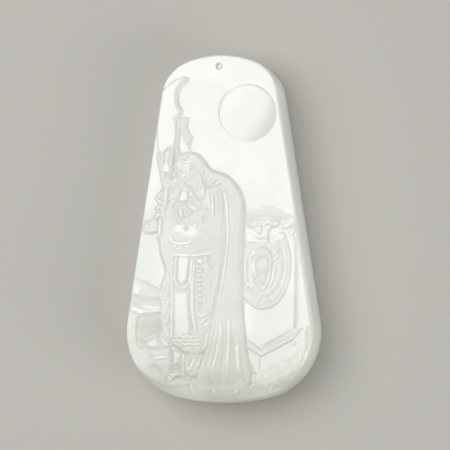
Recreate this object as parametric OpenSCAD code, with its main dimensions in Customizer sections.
// Carved jade plaque, worn as a pendant: one piece of stone with a drilled cord hole.
// It lies face up with its flat back on Z = 0 and the hole end towards +Y.

/* [Stone] */
// Length of the plaque, from the crown of its head to its foot
plaque_h = 91; // [86:1:94]
// Half the width at mid length
half_w = 21.1; // [20:0.1:21.5]
// Lean of the straight sides, which spread towards the foot, in degrees
side_lean = 8.8; // [8:0.1:9.5]
// Radius of the arc across the head
head_r = 24.5; // [22:0.5:28]
// Radius of the two upper corners
upper_corner_r = 10.4; // [9:0.2:12]
// Radius of the two lower corners
lower_corner_r = 18; // [16:0.2:20]
// Radius of the arc across the foot
foot_r = 48; // [42:1:80]
// Thickness from the back to the ground of the relief
ground_t = 12; // [9:0.5:14]
// Height of the highest relief over the ground, which the reliefs share in proportion
relief_h = 1.3; // [0.8:0.1:1.6]

/* [Cord hole] */
// Diameter of the drilled hole
hole_d = 1.5; // [1:0.1:2.5]
// Distance from the crown of the head to the hole's axis
hole_drop = 3.1; // [2.2:0.1:4]
// Diameter of the polished countersink at each end
countersink_d = 2; // [1.6:0.1:3]
// Depth of the countersink
countersink_t = 0.3; // [0.1:0.05:0.6]

/* [Moon] */
// Diameter of the low dome
moon_d = 15.2; // [10:0.2:16]
// Place of its centre across, from the middle line
moon_x = 7.7; // [6:0.1:8]
// Place of its centre along, from mid length
moon_y = 29.8; // [27:0.1:31]

/* [Shield] */
// Width of the oval shield
shield_w = 15.4; // [12:0.2:16]
// Length of the oval shield
shield_h = 24; // [20:0.5:25]
// Width of its raised border
shield_rim = 1.8; // [1:0.1:3]
// Place of its centre across
shield_x = 11.7; // [10:0.1:12]
// Place of its centre along
shield_y = -9.6; // [-12:0.1:-8]

/* [Surface] */
// Steps across the face
cells_across = 54; // [30:2:56]
// Steps along the straight part of each side
cells_side = 58; // [30:2:60]
// Steps around half of each corner
cells_corner = 14; // [6:1:14]

/* [Hidden] */
stone_colour = "#f2f4ea";
clear = 1;

// Tangent construction of the outline. An angle runs clockwise from +Y, so a point on an arc
// is its centre plus its radius times the unit vector of that angle.
function unit(a) = [sin(a), cos(a)];
side_n = [cos(side_lean), sin(side_lean)];
side_a = 90 - side_lean;
side_d = half_w * side_n[0];
head_c = [0, plaque_h / 2 - head_r];
foot_c = [0, foot_r - plaque_h / 2];
// An upper corner's centre is head_r - upper_corner_r from the head arc's centre and
// upper_corner_r inside the side line, and a lower corner's likewise with the foot arc.
upper_a = side_a - acos((side_d - upper_corner_r - side_n * head_c) / (head_r - upper_corner_r));
upper_c = head_c + (head_r - upper_corner_r) * unit(upper_a);
lower_a = side_a + acos((side_d - lower_corner_r - side_n * foot_c) / (foot_r - lower_corner_r));
lower_c = foot_c + (foot_r - lower_corner_r) * unit(lower_a);

// Stretches of the right half of the outline, each a list of [point, outward normal]:
// half of the foot, the right side between the middles of its corners, half of the head
function arc(c, r, a0, a1, n) =
  [for (i = [0 : n]) let(a = a0 + (a1 - a0) * i / n) [c + r * unit(a), unit(a)]];
function line(p, q, n) = [for (i = [1 : n - 1]) [p + (q - p) * i / n, side_n]];
upper_mid = (upper_a + side_a) / 2;
lower_mid = (lower_a + side_a) / 2;
side_right = concat(
  arc(lower_c, lower_corner_r, lower_mid, side_a, cells_corner),
  line(lower_c + lower_corner_r * side_n, upper_c + upper_corner_r * side_n, cells_side),
  arc(upper_c, upper_corner_r, side_a, upper_mid, cells_corner / 2));
// A head or foot half is a corner part and an arc part, stepped evenly by angle in each
foot_share = 0.26;
head_share = 0.4;
half = cells_across / 2;
function turned(list) = [for (i = [len(list) - 1 : -1 : 0]) list[i]];
function without_first(list) = [for (i = [1 : len(list) - 1]) list[i]];
function mirrored(list) = [for (e = list) [[-e[0][0], e[0][1]], [-e[1][0], e[1][1]]]];
function half_end(c, r, a, corner_c, corner_r, mid, share) =
  let(n_corner = round(half * share))
  concat(arc(c, r, a < 90 ? 0 : 180, a, half - n_corner),
         without_first(arc(corner_c, corner_r, a, mid, n_corner)));
head_half = half_end(head_c, head_r, upper_a, upper_c, upper_corner_r, upper_mid, head_share);
foot_half = half_end(foot_c, foot_r, lower_a, lower_c, lower_corner_r, lower_mid, foot_share);
head = concat(turned(mirrored(head_half)), without_first(head_half));
foot = concat(turned(mirrored(foot_half)), without_first(foot_half));
side_left = mirrored(side_right);
n_up = len(side_right) - 1;
n_over = cells_across;

// The wall bulges a little: how far it lies inside the outline at each height.
// Columns: inset, height
WALL = [
  [0.5, ground_t],
  [0.18, ground_t - 0.4],
  [0, ground_t * 0.5],
  [0.16, 0.5],
  [0.65, 0]];
INSET = 0;
HEIGHT = 1;

// Relief. Places are [x, y] from the middle of the face, in millimetres, heights are shares
// of relief_h. Each form is a plate with a sloped edge and a crown, or a rounded ridge.
function smooth(t) = let(c = max(0, min(1, t))) c * c * (3 - 2 * c);
function to_segment(p, a, b) =
  let(d = b - a, t = max(0, min(1, ((p - a) * d) / (d * d)))) norm(p - a - t * d);
function to_path(p, path) = min([for (i = [1 : len(path) - 1]) to_segment(p, path[i - 1], path[i])]);
function to_outline(p, path) = min(to_path(p, path), to_segment(p, path[len(path) - 1], path[0]));
function crossings(p, path) = [
  for (i = [0 : len(path) - 1])
    let(a = path[i], b = path[(i + 1) % len(path)])
    if ((a[1] > p[1]) != (b[1] > p[1])
        && p[0] < a[0] + (b[0] - a[0]) * (p[1] - a[1]) / (b[1] - a[1])) 1];
function inside(p, path) = len(crossings(p, path)) % 2 == 1;

BLADE = [
  [-7.8, 39.3], [-9.4, 38.1], [-10.6, 36.6], [-11.3, 34.5], [-11.3, 32.5], [-9.8, 30.3], [-11.4, 28.2],
  [-12, 22], [-15, 17.5], [-17.5, 17.5], [-18, 25], [-15.6, 35.8], [-13.4, 37.8], [-10.7, 39.4]];
PLUME = [[-10.3, 28.8], [-7.8, 28.6], [-7.9, 25.5], [-6.9, 24], [-7.4, 20.5], [-9.5, 24.3], [-11.3, 20.2]];
BODY = [
  [-11.2, 18], [-9, 19.7], [-6.3, 19.6], [-3.2, 17.2], [-1.7, 15.3], [1, 12.5], [2.6, 8], [2.8, -3.5],
  [1.9, -12.5], [-0.7, -23.7], [-3, -33], [-7, -38.5], [-11.5, -38], [-13, -30], [-15.4, -24],
  [-15, -14], [-14.3, -10], [-16, -3], [-16.4, 6], [-14, 10], [-12.8, 13]];
HEAD = [
  [-11.4, 18], [-9, 19.8], [-6, 19.5], [-3.8, 17.8], [-3.4, 14.6], [-4.4, 10.6], [-7, 7.6], [-10.4, 10], [-12.3, 13.6]];
CLOAK = [
  [-4, 17.9], [-1.7, 15.4], [1.8, 13.9], [4.3, 12], [6, 9.8], [7, 7], [7.3, 3.5], [7.1, -7.4], [7.5, -24.5],
  [8.3, -31], [9.8, -42], [-5.2, -42], [-3.6, -35], [-1.7, -28], [0.9, -17], [2.6, -9], [2.9, 3], [2.2, 8.6], [0.6, 11.8]];
SKIRT = [[-12.3, -7], [-6.6, -7.4], [-6.4, -28.6], [-11.9, -28.6]];
LEFT_SKIRT = [[-15.2, -13.6], [-12.5, -12.6], [-12.4, -28.4], [-14.4, -28.6], [-15.4, -24]];
BOOTS = [[-13, -29.8], [-7.6, -29.8], [-7, -38.6], [-9, -41.2], [-15.6, -40.6], [-15.2, -38.6], [-12, -36.4]];
UPPER_CLOTH = [[-22.2, -13], [-18.6, -14.4], [-15, -16], [-15, -22], [-18.5, -21.3], [-22.4, -19]];
LOWER_CLOTH = [[-22.8, -20.2], [-15.6, -22.4], [-15.4, -28.5], [-18, -29.4], [-19.4, -32], [-21.6, -31.2]];
CAP = [[7.2, 5], [12.3, 5.4], [16.4, 4], [20.6, 2.4], [19.6, -2.6], [14, -1.4], [9, 1], [7.3, 0.6]];
BEAST = [[7.8, 2], [11.6, 1.2], [16.2, 1.8], [15, -1.6], [12.8, -5.4], [10.6, -5.4], [8.6, -2.4]];
PLINTH = [[8.2, -30], [11.6, -33], [21.4, -26.6], [21.6, -35], [17.4, -39.4], [11.2, -40.6], [9.4, -38]];
ROCKS = [[9.6, -39.4], [13.6, -37.8], [18.4, -36.6], [16.4, -40.4], [11.4, -42.6]];

// Columns: outline, height at the edge, crown over the edge, width of the edge slope, width of the crown
PLATES = [
  [BLADE, 0.4, 0.15, 0.9, 2.5],
  [PLUME, 0.45, 0.1, 0.9, 1],
  [BODY, 0.5, 0.2, 1.1, 3],
  [HEAD, 0.6, 0.35, 1.2, 4],
  [CLOAK, 0.5, 0.5, 1.1, 4],
  [SKIRT, 0.75, 0.1, 0.9, 2],
  [LEFT_SKIRT, 0.65, 0.1, 0.8, 1],
  [BOOTS, 0.5, 0.25, 1, 2],
  [UPPER_CLOTH, 0.35, 0.3, 1, 3],
  [LOWER_CLOTH, 0.35, 0.2, 1, 3],
  [CAP, 0.3, 0.05, 0.9, 1.5],
  [BEAST, 0.45, 0.25, 1, 2],
  [PLINTH, 0.45, 0.1, 0.9, 3],
  [ROCKS, 0.5, 0.25, 1, 2]];
OUTLINE = 0;
EDGE = 1;
CROWN = 2;
SLOPE = 3;
SPREAD = 4;

// Columns: path, half width, height over the ground
RIDGES = [
  [[[-10.6, 28.6], [-15.9, -3]], 0.9, 0.75],
  [[[-12.4, 11], [-16.4, 7.4], [-16.8, 3], [-18.8, 0.4]], 1.6, 0.85],
  [[[1, 11.6], [2.4, 7.8], [2.8, -3.4], [1.9, -12.4], [-0.7, -23.6], [-3.6, -35], [-5, -41]], 1.1, 0.95],
  [[[-0.8, -24], [-2.6, -34], [-3.4, -40]], 1, 0.95],
  [[[1.6, -27], [1, -34], [0.6, -40.6]], 1, 1],
  [[[4.4, -30], [4.6, -35], [5.2, -41]], 1, 0.95],
  [[[-11.8, -6.9], [-6, -7.4], [-0.6, -6.8]], 0.9, 0.9],
  [[[-4.4, -8], [-4.6, -19]], 1, 0.85],
  [[[-6.5, -8], [-6.2, -26]], 0.9, 0.9],
  [[[-9, 12], [-6.4, 9.4], [-5.6, 5]], 1.3, 1],
  [[[-2.2, 10.2], [-0.9, 4.6]], 1.8, 0.85],
  [[[21.3, -3], [21.6, -25]], 1, 0.3],
  [[[-22.4, -19.6], [-18.5, -21.6], [-15.6, -22.2]], 0.9, 0.55],
  [[[8, -29.8], [11.6, -32.8], [21.6, -26.8]], 1, 0.6]];
PATH = 0;
RADIUS = 1;
TOP = 2;

function plate_z(p, k) =
  inside(p, k[OUTLINE])
    ? let(d = to_outline(p, k[OUTLINE]))
      k[EDGE] * smooth(d / k[SLOPE]) + k[CROWN] * smooth(d / k[SPREAD])
    : 0;
function ridge_z(p, k) =
  let(d = to_path(p, k[PATH]) / k[RADIUS]) d < 1 ? k[TOP] * sqrt(1 - d * d) : 0;
function moon_z(p) =
  let(d = norm(p - [moon_x, moon_y]) / (moon_d / 2)) d < 1 ? 0.25 * smooth((1 - d) * 8) + 0.4 * (1 - d * d) : 0;
function shield_z(p) =
  let(q = p - [shield_x, shield_y],
      d = (1 - norm([q[0] / shield_w, q[1] / shield_h]) * 2) * shield_w / 2)
  d > 0 ? 0.35 * smooth(d) + (d < shield_rim ? 0.15 * sin(180 * d / shield_rim) : 0.1 * smooth(d / 6)) : 0;
function relief(p) = relief_h * max(concat(
  [for (k = PLATES) plate_z(p, k)], [for (k = RIDGES) ridge_z(p, k)], [moon_z(p), shield_z(p)]));

// The face: a grid spread between the four stretches of the rim, so that its lines meet every
// edge squarely. A point is the blend across plus the blend along minus the blend of the corners.
function rim(e, k) = e[0] - e[1] * WALL[k][INSET];
function blend(a, b, t) = a + (b - a) * t;
function face_xy(i, j) =
  let(u = i / n_over, v = j / n_up)
  blend(rim(foot[i], 0), rim(head[i], 0), v)
  + blend(rim(side_left[j], 0), rim(side_right[j], 0), u)
  - blend(blend(rim(foot[0], 0), rim(foot[n_over], 0), u), blend(rim(head[0], 0), rim(head[n_over], 0), u), v);
// The relief sinks to the ground over the last steps before the rim
fade_steps = 2;
function fade(i, j) = smooth(min(i, n_over - i, j, n_up - j) / fade_steps);
face = [
  for (j = [0 : n_up]) for (i = [0 : n_over])
    let(p = face_xy(i, j)) [p[0], p[1], ground_t + fade(i, j) * relief(p)]];
function at(i, j) = j * (n_over + 1) + i;

// The rim once round, anticlockwise from the left end of the foot
loop = concat(
  [for (i = [0 : n_over - 1]) foot[i]],
  [for (j = [0 : n_up - 1]) side_right[j]],
  [for (i = [n_over : -1 : 1]) head[i]],
  [for (j = [n_up : -1 : 1]) side_left[j]]);
n_loop = len(loop);
loop_face = concat(
  [for (i = [0 : n_over - 1]) at(i, 0)],
  [for (j = [0 : n_up - 1]) at(n_over, j)],
  [for (i = [n_over : -1 : 1]) at(i, n_up)],
  [for (j = [n_up : -1 : 1]) at(0, j)]);
rings = [
  for (k = [1 : len(WALL) - 1]) for (e = loop)
    let(p = rim(e, k)) [p[0], p[1], WALL[k][HEIGHT]]];
function ring_at(k, i) = k == 0 ? loop_face[i % n_loop] : len(face) + (k - 1) * n_loop + i % n_loop;

module jade_plaque() {
  color(stone_colour)
  difference() {
    polyhedron(
      points = concat(face, rings),
      faces = concat(
        [for (j = [0 : n_up - 1]) for (i = [0 : n_over - 1]) each [
          [at(i, j), at(i + 1, j + 1), at(i + 1, j)],
          [at(i, j), at(i, j + 1), at(i + 1, j + 1)]]],
        [for (k = [0 : len(WALL) - 2]) for (i = [0 : n_loop - 1]) each [
          [ring_at(k, i), ring_at(k, i + 1), ring_at(k + 1, i + 1)],
          [ring_at(k, i), ring_at(k + 1, i + 1), ring_at(k + 1, i)]]],
        [[for (i = [0 : n_loop - 1]) ring_at(len(WALL) - 1, i)]]),
      convexity = 10);
    cord_hole();
  }
}

// The hole runs straight through, with a countersink at the face and at the back
module cord_hole() {
  sink_h = (countersink_d - hole_d) / 2;
  translate([0, plaque_h / 2 - hole_drop, 0]) {
    translate([0, 0, -clear]) cylinder(d = hole_d, h = ground_t + 2 * clear, $fn = 48);
    translate([0, 0, ground_t - countersink_t])
      cylinder(d1 = hole_d, d2 = countersink_d + sink_h, h = countersink_t * 1.5, $fn = 48);
    translate([0, 0, -countersink_t / 2])
      cylinder(d1 = countersink_d + sink_h, d2 = hole_d, h = countersink_t * 1.5, $fn = 48);
  }
}

jade_plaque();
